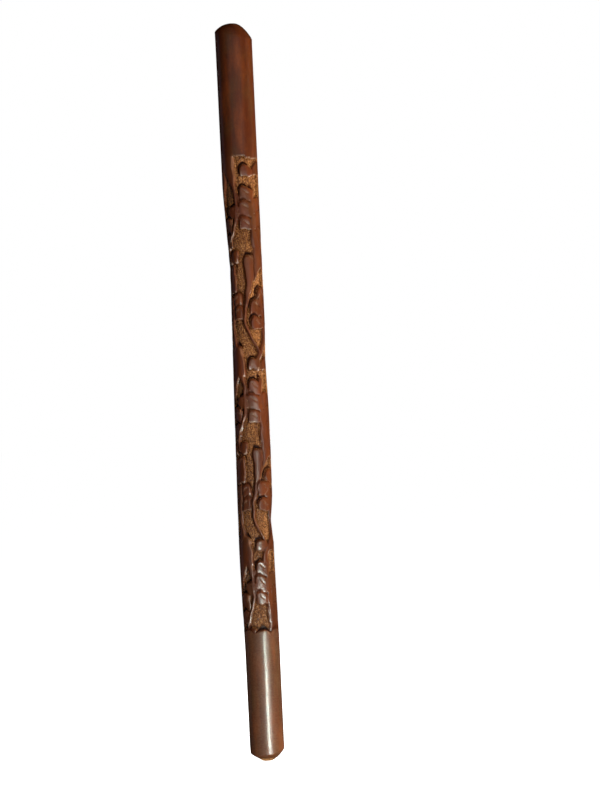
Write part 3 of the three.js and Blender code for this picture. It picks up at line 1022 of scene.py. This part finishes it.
@dataclass(frozen=True)
class Wear:
    """What cutting, staining and handling leave on the carving, with the painted highlights and painted
    shade on walls that face toward the light or away from it. Slopes are millimetres of rise for each one
    along the skin, and creases are differences of depth in millimetres. Light from is how much a slope to
    the right and one to the foot count towards facing the light. Any other pair is the two values between
    which a mark comes in or fades."""

    ground_height: tuple[float, float] = (0.15, 0.6)
    light_from: tuple[float, float] = (0.8, 0.6)
    least_slope: float = 0.05
    crease_sectors: int = 2
    lit_slope_steepness: tuple[float, float] = (0.2, 0.45)
    lit_slope_steepest: tuple[float, float] = (0.8, 1.1)
    lit_slope_facing: tuple[float, float] = (0.1, 0.6)
    open_side_sectors: int = 5
    open_side_depth: tuple[float, float] = (1.6, 2.8)
    rim_to: float = 182
    painted_shade_slope: tuple[float, float] = (0.3, 0.9)
    painted_shade_facing: tuple[float, float] = (0, 0.7)
    painted_shade_share: float = 0.4
    edge_strength: float = 2.2
    edge_facing: tuple[float, float] = (-0.1, 0.6)
    edge_everywhere: float = 0.15
    edge_down: tuple[float, float] = (0.15, 0.6)
    lit_slope_edge: float = 0.8
    lit_slope_edge_down: tuple[float, float] = (0.15, 0.4)
    crease_darkening_strength: float = 0.9
    crease_darkening_least: float = 0.05
    crease_darkening_most: float = 0.45
    low_levels: tuple[float, float] = (440, 560)
    scuffed_levels: tuple[float, float] = (600, 700)

    def masks(self, cut: Cut, levels: np.ndarray, step: float, pitch: float) -> dict[str, np.ndarray]:
        """Works out where each mark of the finish lies.

        Args:
            cut: the carving at each point of the rings.
            levels: millimetres below the grip's end.
            step: millimetres from one sector to the next.
            pitch: millimetres from one ring to the next.

        Returns:
            The masks by name. Slanting walls that face the light, at the right or below, beside open ground
            are painted paler as highlights, as is the rim at the top; walls that face away from it get
            painted shade, and creases at the feet of all walls are darkened. Pale worn edges lie where the
            skin bulges between its neighbours, and are kept only where it faces the light, so they are
            partly painted highlight; veins and gouge rims, painted pale as highlights, join them. The rim
            is 4 s (1 - s), where s is the band's share.
        """
        depth, raised, gouge, band = cut.depth, cut.raised, cut.gouge, cut.band
        ground = band * (1 - smooth_step(raised, *self.ground_height)) * (1 - gouge)
        near = self.crease_sectors
        around = (np.roll(depth, near, axis=1) + np.roll(depth, -near, axis=1)) / 2
        along = (np.roll(depth, 1, axis=0) + np.roll(depth, -1, axis=0)) / 2
        crease = around + along - 2 * depth
        to_right = (np.roll(depth, -1, axis=1) - np.roll(depth, 1, axis=1)) / (2 * step)
        to_foot = (np.roll(depth, -1, axis=0) - np.roll(depth, 1, axis=0)) / (2 * pitch)
        steep = np.hypot(to_right, to_foot)
        right, down = self.light_from
        facing = (right * to_right + down * to_foot) / (steep + self.least_slope)
        facing_down = to_foot / (steep + self.least_slope)
        is_slanting = smooth_step(steep, *self.lit_slope_steepness) * (1 - smooth_step(steep, *self.lit_slope_steepest))
        open_side = smooth_step(np.roll(depth, -self.open_side_sectors, axis=1), *self.open_side_depth)
        # Painted highlight: slanting slopes that face the light, beside open ground
        lit_slope = is_slanting * (1 - gouge) * smooth_step(facing, *self.lit_slope_facing) * open_side * band
        # Painted highlight along the band's top rim
        rim = 4 * band * (1 - band) * (1 - raised) * (levels < self.rim_to)
        # Painted shade on steep walls turned away from the light
        is_painted_shade = smooth_step(steep, *self.painted_shade_slope)
        is_painted_shade = is_painted_shade * smooth_step(-facing, *self.painted_shade_facing) * band
        # Worn edges on bulges, kept only where they face the light: wear and painted highlight
        worn_and_lit_edge = np.clip(crease * self.edge_strength, 0, 1) * (1 - ground)
        worn_and_lit_edge = worn_and_lit_edge * smooth_step(facing, *self.edge_facing)
        worn_and_lit_edge = worn_and_lit_edge * blend(self.edge_everywhere, 1, smooth_step(facing_down, *self.edge_down))
        # Painted highlight on lit slopes that face the foot
        lit_slope_edge = self.lit_slope_edge * lit_slope * smooth_step(facing_down, *self.lit_slope_edge_down)
        worn_and_lit_edge = np.maximum(worn_and_lit_edge, lit_slope_edge)
        # Creases darkened, joined by the painted shade of walls turned away from the light
        dirt_and_shade = np.clip(-self.crease_darkening_strength * crease - self.crease_darkening_least, 0, self.crease_darkening_most)
        dirt_and_shade = np.maximum(dirt_and_shade, self.painted_shade_share * is_painted_shade) * band
        return {
            "ground": ground,
            # Gouges, darkened creases and painted shade together
            "gouge": np.maximum(gouge, dirt_and_shade),
            # Worn edges with painted highlights, pale veins and rims painted as highlights, and the top rim
            "worn_and_lit_edge": np.maximum(np.maximum(worn_and_lit_edge, cut.veins), rim),
            "lit_slope": lit_slope,
            "carved": band,
            # Darker towards the lower end of the carving
            "low": band * smooth_step(levels, *self.low_levels),
            # Where the foot's varnish is scuffed and milky, which also serves as a painted sheen
            "scuffed": (1 - band) * smooth_step(levels, *self.scuffed_levels),
        }


@dataclass(frozen=True)
class Staff:
    """The staff: plain grip with a lopsided dome, carved band, and plain foot with a seat for the
    tip. Lengths in millimetres."""

    length: float = 900
    grip_diameter: float = 45
    foot_diameter: float = 41.9
    grip_dome_height: float = 14.6
    grip_dome_slant: float = 5.5
    grip_dome_power: float = 2.3
    grip_dome_power_slant: float = -0.3
    grip_dome_rings: int = 13
    grip_rings: int = 14
    foot_dome_height: float = 14.1
    foot_dome_power: float = 2.2
    foot_dome_rings: int = 12
    foot_fullness: float = 4
    foot_front_fullness: float = 4.3
    foot_fullness_power: float = 1.5
    foot_shoulder_wear: float = 0.4
    foot_shoulder_reach: float = 7
    foot_shoulder_gap: float = 2
    foot_shoulder_shares: tuple[float, ...] = (0.75, 0.5, 0.3, 0.15, 0.05)
    foot_edge_round: float = 3.2
    foot_edge_slopes: tuple[float, ...] = (90, 75, 60, 45, 30)
    foot_rings: int = 12
    edge_round: float = 0.9
    edge_slopes: tuple[float, ...] = (30, 60, 90)
    edge_flattening: float = 0.9
    plug_hole_diameter: float = 10.6
    plug_hole_depth: float = 16.3
    hole_edge_width: float = 0.35
    hole_edge_depth: float = 0.4
    hole_edge_sink: float = 0.05
    hole_margin: float = 1
    seat_diameter: float = 21.4
    seat_top: float = 15.3
    seat_edge: float = 0.3
    dowel_hole_diameter: float = 8.6
    dowel_hole_top: float = 44.3
    bow_depth: float = 1.4
    bow_middle: float = 645
    bow_reach: float = 125
    band_from: float = 161
    band_to: float = 753
    band_gap: float = 3
    band_rings: int = 508
    sectors: int = 172
    samples: int = 3
    punch_depth: float = 0.13
    punch_seed: int = 7
    finish_waves: tuple[Wave, ...] = (Wave(0.03, 31, 2), Wave(0.02, 13.7, -3, 1), Wave(0.03, 90, 5))
    finish_depth: float = 0.08
    carving: Carving = field(default_factory=Carving)
    wear: Wear = field(default_factory=Wear)

    def turned(self, below: np.ndarray) -> np.ndarray:
        """Radius of the turned staff, which tapers in a straight line from grip to foot."""
        return blend(self.grip_diameter, self.foot_diameter, below / self.length) / 2

    def plain(self, degrees: np.ndarray, below: np.ndarray) -> np.ndarray:
        """Radius of the plain wood: the turned one less what scraping and sanding by hand took
        away, in three slow waves of two or three hundredths of a millimetre."""
        return self.turned(below) + (ripple(self.finish_waves, degrees, below) - self.finish_depth)

    def bow(self, below: np.ndarray) -> np.ndarray:
        """How far the staff bows to the left: (1 - t squared) squared over its reach."""
        away = (below - self.bow_middle) / self.bow_reach
        return -self.bow_depth * np.clip(1 - away**2, 0, 1) ** 2

    def band_rows(self, degrees: np.ndarray) -> tuple[np.ndarray, np.ndarray, dict[str, np.ndarray]]:
        """Works out the rings of the carved band.

        Args:
            degrees: angle of each sector from the front, one row.

        Returns:
            Radius and height in millimetres, and the masks for the finish. Each ring averages
            the carving at a few levels inside its pitch, so that slanting edges stay even. The
            ground is roughened by a tenth or two of a millimetre, seeded, as punch marks are.
        """
        pitch = (self.band_to - self.band_from) / self.band_rings
        below = self.band_from + pitch * (np.arange(self.band_rings)[:, None] + 0.5)
        turns, levels = np.broadcast_arrays(degrees[None, :], below)
        cuts = [
            self.carving.cut(turns, levels + pitch * ((k + 0.5) / self.samples - 0.5))
            for k in range(self.samples)
        ]
        names = ("depth", "raised", "gouge", "veins", "band")
        cut = Cut(*(sum(getattr(c, name) for c in cuts) / self.samples for name in names))
        masks = self.wear.masks(cut, levels, math.pi * self.grip_diameter / self.sectors, pitch)
        punches = np.random.default_rng(self.punch_seed).normal(0, self.punch_depth, cut.depth.shape)
        radius = self.plain(turns, levels) - cut.depth - punches * masks["ground"]
        return radius, self.length - levels, masks

    def grip_rows(self, degrees: np.ndarray) -> tuple[np.ndarray, np.ndarray]:
        """Works out the rings from the bottom of the plug's hole to the carved band.

        Args:
            degrees: angle of each sector from the front.

        Returns:
            Radius and height in millimetres. The dome falls from the end by (height + slant times
            the sine of the angle) times the share of the radius to a power that slants in the
            same way, and its shoulder is rounded over the edge's radius.
        """
        hole = self.plug_hole_diameter / 2
        full = self.grip_diameter / 2
        side = np.sin(np.radians(degrees))
        drop = self.grip_dome_height + self.grip_dome_slant * side
        power = self.grip_dome_power + self.grip_dome_power_slant * side
        flat = np.ones_like(degrees)
        rim = self.length - drop * (hole / full) ** power
        rows = [
            (hole * flat, (self.length - self.plug_hole_depth) * flat),
            (hole * flat, (self.length - self.plug_hole_depth / 2) * flat),
            (hole * flat, rim - self.hole_edge_depth),
            ((hole + self.hole_edge_width) * flat, rim - self.hole_edge_sink),
        ]
        first = (hole + self.hole_margin) / full
        for share in np.linspace(first, 1 - self.edge_round / full, self.grip_dome_rings):
            rows.append((share * full * flat, self.length - drop * share**power))
        for slope in np.radians(self.edge_slopes):
            rounded = self.edge_round * (1 - np.cos(slope)) * self.edge_flattening
            radius = full - self.edge_round * (1 - np.sin(slope))
            rows.append((radius * flat, self.length - drop - rounded))
        first = self.grip_dome_height + self.grip_dome_slant + self.edge_round + self.band_gap
        for below in np.linspace(first, self.band_from - self.band_gap, self.grip_rings):
            level = below * flat
            rows.append((self.plain(degrees, level), self.length - level))
        return np.stack([r for r, _ in rows]), np.stack([z for _, z in rows])

    def dome_rise(self, radius: np.ndarray, degrees: np.ndarray) -> np.ndarray:
        """Works out the foot's dome.

        Args:
            radius: millimetres from the staff's own middle.
            degrees: angle from the front.

        Returns:
            Height in millimetres: the dome's times a power of the share of the radius, less a
            fullness that grows with a power of the way out from the tip's seat. The fullness is
            greatest at the front and the back, less at the left, and none at the right.
        """
        full = self.turned(np.array(self.length - self.foot_dome_height))
        seat = self.seat_diameter / 2
        out = np.clip((radius - seat) / (full - seat), 0, None) ** self.foot_fullness_power
        side = np.sin(np.radians(degrees))
        fullness = self.foot_fullness * (1 - side) / 2 + self.foot_front_fullness * (1 - side**2)
        return self.foot_dome_height * (radius / full) ** self.foot_dome_power - fullness * out

    def foot_rows(self, degrees: np.ndarray) -> tuple[np.ndarray, np.ndarray]:
        """Works out the rings from the carved band down the plain foot, round its dome, and up
        into the seat of the tip and the dowel's hole.

        Args:
            degrees: angle of each sector from the front.

        Returns:
            Radius and height in millimetres. The shoulder of the dome is worn by a parabola over
            its reach, twice as much and rounder on the left.
        """
        flat = np.ones_like(degrees)
        left = 0.5 + 0.5 * np.clip(-np.sin(np.radians(degrees)), 0, 1)
        full = self.turned(np.array(self.length - self.foot_dome_height))
        shoulder = full - self.foot_shoulder_wear * left
        rounding = self.foot_edge_round * left
        low = self.dome_rise(shoulder, degrees) + rounding
        high = self.foot_dome_height + self.foot_shoulder_gap + self.foot_shoulder_reach
        rows = []
        for height in np.linspace(self.length - self.band_to - self.band_gap, high, self.foot_rings):
            level = (self.length - height) * flat
            rows.append((self.plain(degrees, level), height * flat))
        for share in self.foot_shoulder_shares:
            worn = self.foot_shoulder_wear * (1 - share) ** 2 * left
            height = blend(low, high, share)
            rows.append((self.turned(self.length - height) - worn, height))
        slopes = np.radians(self.foot_edge_slopes)
        for slope in slopes:
            radius = shoulder - rounding * (1 - np.sin(slope))
            rounded = rounding * (1 - np.cos(slope - slopes[-1])) * self.edge_flattening
            rows.append((radius, self.dome_rise(radius, degrees) + rounded))
        seat = self.seat_diameter / 2
        for share in np.linspace(0, 1, self.foot_dome_rings)[1:]:
            radius = blend(shoulder - rounding / 2, (seat + self.seat_edge) * flat, share)
            rows.append((radius, self.dome_rise(radius, degrees)))
        rim = float(self.dome_rise(np.array(seat), np.array(0.0)))
        hole = self.dowel_hole_diameter / 2
        for radius, height in (
            (seat, rim + self.seat_edge),
            (seat, (rim + self.seat_top) / 2),
            (seat, self.seat_top),
            (hole, self.seat_top),
            (hole, self.dowel_hole_top),
        ):
            rows.append((radius * flat, height * flat))
        return np.stack([r for r, _ in rows]), np.stack([z for _, z in rows])

    def build(self) -> bpy.types.Object:
        """Builds the staff as one closed skin of rings.

        Returns:
            The object, with the masks of its finish as attributes, and with its first material on
            the grip and the carving and its second on the foot.
        """
        degrees = turn_between(0, np.arange(self.sectors) * 360 / self.sectors)
        grip_radius, grip_height = self.grip_rows(degrees)
        band_radius, band_height, masks = self.band_rows(degrees)
        foot_radius, foot_height = self.foot_rows(degrees)
        radius = np.concatenate([grip_radius, band_radius, foot_radius]) * MM
        height = np.concatenate([grip_height, band_height, foot_height]) * MM
        shift = self.bow(self.length - height / MM) * MM
        poles = ((self.length - self.plug_hole_depth) * MM, self.dowel_hole_top * MM)
        staff = sheet_of_rings("staff", radius, height, shift, poles)
        above = np.zeros(grip_radius.shape)
        for name, values in masks.items():
            under = np.full(foot_radius.shape, float(name == "scuffed"))
            write_attribute(staff, name, np.concatenate([above, values, under]))
        is_foot = np.concatenate([above, masks["scuffed"], np.ones(foot_radius.shape)])[:-1] > 0.5
        fans = np.repeat((0, 1), self.sectors)
        staff.data.polygons.foreach_set("material_index", np.append(is_foot, fans).astype(np.int32))
        return staff

    def dress(self, piece: bpy.types.Object, *finishes: bpy.types.Material) -> None:
        """Gives the staff its finishes, of the carving and of the foot, and its place."""
        for finish in finishes:
            piece.data.materials.append(finish)
        seat(piece, "shaft", Slot.VARNISHED)


@dataclass(frozen=True)
class TurnedPiece:
    """A small turned piece: an outline of (radius, height) points in millimetres, from its first
    pole on the axis outside and round to its last, and how uneven its skin is. It gets even over
    the last share of its radius, and rests flat up to a height."""

    name: str
    node: str
    slot: Slot
    outline: tuple[tuple[float, float], ...]
    poles: tuple[float, float]
    unevenness: float = 0.0
    sectors: int = 96
    waves: tuple[Wave, ...] = (
        Wave(1, math.inf, 3, 1),
        Wave(0.6, math.inf, 7, 2.2),
        Wave(0.4, math.inf, 13),
    )
    even_from: float = 0.7
    resting: float = 0.05

    def build(self) -> bpy.types.Object:
        """Builds the piece.

        Returns:
            The outline turned about Z, with waves of the given depth that fade out at the rings
            where the piece meets its neighbours.
        """
        degrees = np.arange(self.sectors) * 360 / self.sectors
        flat = np.ones_like(degrees)[None, :]
        radius = np.array([r for r, _ in self.outline])[:, None] * flat
        height = np.array([z for _, z in self.outline])[:, None] * flat
        wave = ripple(self.waves, degrees[None, :], height)
        inner = 1 - smooth_step(radius, self.even_from * radius.max(), radius.max())
        lifted = height + self.unevenness * wave * inner * (height > self.resting)
        shift = np.zeros_like(radius)
        return sheet_of_rings(
            self.name, radius * MM, lifted * MM, shift, (self.poles[0] * MM, self.poles[1] * MM)
        )

    def dress(self, piece: bpy.types.Object, finish: bpy.types.Material) -> None:
        """Gives the piece its finish and its place in the frame."""
        piece.data.materials.append(finish)
        seat(piece, self.node, self.slot)


@dataclass(frozen=True)
class Ends:
    """The small pieces in the staff's ends: the wear tip under the foot and the plug in the grip.
    Lengths in millimetres."""

    staff: Staff
    tip_diameter: float = 20.8
    tip_ground_diameter: float = 9
    tip_top: float = 15.0
    dowel_diameter: float = 8
    dowel_in_tip: float = 9
    plug_diameter: float = 10
    plug_length: float = 16
    plug_crown: float = 0.9
    clearance: float = 0.3
    tip_edge: float = 0.3
    tip_rim: float = 0.25
    tip_unevenness: float = 0.06
    plug_edge: float = 0.15
    plug_first_ring: float = 0.6
    tip_rings: int = 9
    plug_rings: int = 8

    def rise(self, radius: float) -> float:
        """Height of the foot's dome at a radius inside its seat for the tip."""
        return float(self.staff.dome_rise(np.array(radius), np.array(0.0)))

    def tip(self) -> TurnedPiece:
        """Works out the wear tip.

        Returns:
            Its outline from the blind hole for the dowel, over its top, down its shank and round
            its dome to the flat that stands on the ground. The dome goes on from the foot's.
        """
        radius = self.tip_diameter / 2
        ground = self.tip_ground_diameter / 2
        lowest = self.rise(ground)
        shoulder = self.rise(radius)
        hole = self.dowel_diameter / 2 + self.clearance
        bottom = self.tip_top - self.dowel_in_tip - self.clearance
        dome = [
            (r, shoulder * (self.rise(r) - lowest) / (shoulder - lowest))
            for r in np.linspace(radius - self.tip_edge, ground, self.tip_rings)
        ]
        outline = [
            (hole, bottom),
            (hole, self.tip_top),
            (radius - self.tip_edge, self.tip_top),
            (radius, self.tip_top - self.tip_edge),
            (radius, shoulder + self.tip_rim),
            *dome,
            (ground / 2, 0.0),
        ]
        return TurnedPiece(
            "wear_tip", "foot_tip", Slot.BARE, tuple(outline), (bottom, 0.0), self.tip_unevenness
        )

    def plug(self) -> TurnedPiece:
        """Works out the plug in the grip's end.

        Returns:
            Its crown, domed with the square of the radius, its side and its flat lower end.
        """
        radius = self.plug_diameter / 2
        length = self.staff.length
        foot = length - self.plug_length
        crown = [
            (r, length - self.plug_crown * (r / radius) ** 2 - (self.plug_edge if r == radius else 0))
            for r in np.linspace(self.plug_first_ring, radius, self.plug_rings)
        ]
        outline = (*crown, (radius, foot), (radius / 2, foot))
        return TurnedPiece("grip_plug", "grip_end_plug", Slot.VARNISHED, outline, (length, foot))


# Studio


class Gives(Enum):
    """What a light is hung for."""

    SHADE = "lights the wood, but isn't mirrored in its varnish"
    SHEEN = "is mirrored in the varnish alone"
    BOTH = "lights the wood and is mirrored"


@dataclass(frozen=True)
class Lamp:
    """A rectangular light that faces the stick's axis: its angle from the front in degrees, its
    distance, height, size and the height that it faces in metres, and its power in watts."""

    name: str
    azimuth: float
    distance: float
    height: float
    size: tuple[float, float]
    watts: float
    gives: Gives
    target: float = 0.45
    colour: str = "ffffff"


LAMPS = (
    Lamp("key", 28, 1.5, 0.45, (0.5, 0.2), 18, Gives.SHADE),
    Lamp("side", 95, 1.6, 0.6, (0.5, 0.9), 36, Gives.SHADE, target=0.6),
    Lamp("top", 20, 0.7, 2.4, (1.0, 1.0), 7, Gives.SHADE, target=0.8),
    Lamp("back left", -150, 2.0, 0.8, (1.0, 1.2), 20, Gives.SHADE),
    Lamp("back right", 150, 2.0, 0.8, (1.0, 1.2), 20, Gives.SHADE),
    Lamp("soft sheen", 0, 4.5, 0.9, (8.0, 3.0), 16, Gives.SHEEN),
    Lamp("left sheen", -115, 2.5, 0.6, (1.0, 1.6), 0.8, Gives.SHEEN, colour="e0c4dc"),
    Lamp("middle sheen", 24, 1.5, 0.24, (0.16, 0.2), 1.5, Gives.SHEEN, target=0.33, colour="fafff0"),
    Lamp("low sheen", 22, 0.8, -0.15, (0.35, 0.12), 2.0, Gives.SHEEN, target=0.6),
    Lamp("low glint", 18, 1.15, 0.05, (0.2, 0.1), 0.25, Gives.BOTH),
    Lamp("foot haze", 33, 0.45, 0.035, (0.1, 0.17), 0.18, Gives.SHEEN, target=0.045, colour="eefff2"),
    Lamp("foot left", -30, 0.8, 0.03, (0.3, 0.06), 0.9, Gives.SHADE, target=0.05),
    Lamp("foot strip", 18, 0.45, 0.03, (0.03, 0.2), 1.6, Gives.SHEEN, target=0.03, colour="e6fff4"),
    Lamp("foot low", 5, 0.12, -0.3, (0.2, 0.1), 1.3, Gives.SHADE, target=0.02),
)


@dataclass(frozen=True)
class Studio:
    """The floor, the lights and the camera. Lengths in metres."""

    middle_height: float = 0.45
    camera_distance: float = 4.0
    frame_height: float = 0.9758
    roll_degrees: float = 2.73
    stick_right: float = -0.06065
    stick_up: float = 0.00988
    sensor: float = 36.0
    floor_radius: float = 30.0
    floor_sides: int = 64
    floor_roughness: float = 0.9
    floor_colour: str = "f4f3f1"
    white: str = "ffffff"

    def camera(self) -> None:
        """Places a level camera in front, rolled so that the stick leans to the left as in the
        photograph, with the frame as high as 800 pixels at the photograph's scale."""
        roll = math.radians(self.roll_degrees)
        right = Vector((math.cos(roll), 0, -math.sin(roll)))
        up = Vector((math.sin(roll), 0, math.cos(roll)))
        back = Vector((0, -1, 0))
        data = bpy.data.cameras.new("camera")
        data.sensor_width = self.sensor
        data.lens = self.sensor * self.camera_distance / self.frame_height
        camera = bpy.data.objects.new("camera", data)
        bpy.context.scene.collection.objects.link(camera)
        spot = Vector((0, 0, self.middle_height)) - right * self.stick_right - up * self.stick_up
        spot += back * self.camera_distance
        turned = Matrix((right, up, back)).transposed().to_4x4()
        camera.matrix_world = Matrix.Translation(spot) @ turned
        bpy.context.scene.camera = camera

    def floor(self) -> None:
        """A round, pale, plain floor."""
        turn = np.radians(np.arange(self.floor_sides) * 360 / self.floor_sides)
        ring = np.stack([np.cos(turn), np.sin(turn), np.zeros_like(turn)], axis=-1)
        ring = ring * self.floor_radius
        mesh = bpy.data.meshes.new("floor")
        mesh.from_pydata(ring.tolist(), [], [list(range(self.floor_sides))])
        floor = bpy.data.objects.new("floor", mesh)
        bpy.context.scene.collection.objects.link(floor)
        paint = bpy.data.materials.new("pale floor")
        paint.use_nodes = True
        shader = paint.node_tree.nodes["Principled BSDF"]
        shader.inputs["Base Color"].default_value = linear(self.floor_colour)
        shader.inputs["Roughness"].default_value = self.floor_roughness
        shader.inputs["Emission Color"].default_value = linear(self.white)
        shader.inputs["Emission Strength"].default_value = 1.0
        mesh.materials.append(paint)
        floor.visible_glossy = False
        floor.visible_diffuse = False
        floor.visible_shadow = False

    def light(self, lamp: Lamp) -> None:
        """Hangs a rectangular soft light that the camera doesn't see.

        Args:
            lamp: where it hangs, what it faces and what it gives.
        """
        data = bpy.data.lights.new(lamp.name, "AREA")
        data.shape = "RECTANGLE"
        data.size, data.size_y = lamp.size
        data.energy = lamp.watts
        data.color = linear(lamp.colour)[:3]
        hung = bpy.data.objects.new(lamp.name, data)
        bpy.context.scene.collection.objects.link(hung)
        turn = math.radians(lamp.azimuth)
        place = Vector((math.sin(turn) * lamp.distance, -math.cos(turn) * lamp.distance, lamp.height))
        hung.location = place
        facing = Vector((0, 0, lamp.target)) - place
        hung.rotation_euler = facing.to_track_quat("-Z", "Y").to_euler()
        hung.visible_camera = False
        hung.visible_diffuse = lamp.gives is not Gives.SHEEN
        hung.visible_glossy = lamp.gives is not Gives.SHADE

    def surround(self) -> None:
        """A white surround that the camera alone sees."""
        world = bpy.data.worlds.new("white surround")
        world.use_nodes = True
        background = world.node_tree.nodes["Background"]
        background.inputs["Color"].default_value = linear(self.white)
        background.inputs["Strength"].default_value = 1.0
        world.cycles_visibility.diffuse = False
        world.cycles_visibility.glossy = False
        bpy.context.scene.world = world
        bpy.context.scene.view_settings.view_transform = "Standard"


def main() -> None:
    """Builds and dresses every piece, then sets up the studio."""
    logging.basicConfig(level=logging.INFO, format="%(message)s")
    varnished = VarnishedHardwood().material()
    bare = BareEndGrain().material()
    pale = BareEndGrain(
        name="bare dowel wood", light="c79a66", dark="9a6d3f", dirt_and_shade="7d5834", ring_pitch=1.1 * MM
    ).material()
    staff = Staff()
    foot = replace(VarnishedHardwood(), name="varnished scuffed foot", coat_roughness=0.13).material()
    staff.dress(staff.build(), varnished, foot)
    ends = Ends(staff)
    for turned, finish in ((ends.tip(), bare), (ends.plug(), varnished)):
        turned.dress(turned.build(), finish)
    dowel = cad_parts["tip_dowel"]
    dowel.data.materials.clear()
    dowel.data.materials.append(pale)
    log.info("tip_dowel: the CAD node, dressed as dowel wood")
    studio = Studio()
    studio.floor()
    studio.surround()
    for lamp in LAMPS:
        studio.light(lamp)
    studio.camera()


if __name__ == "__main__":
    main()
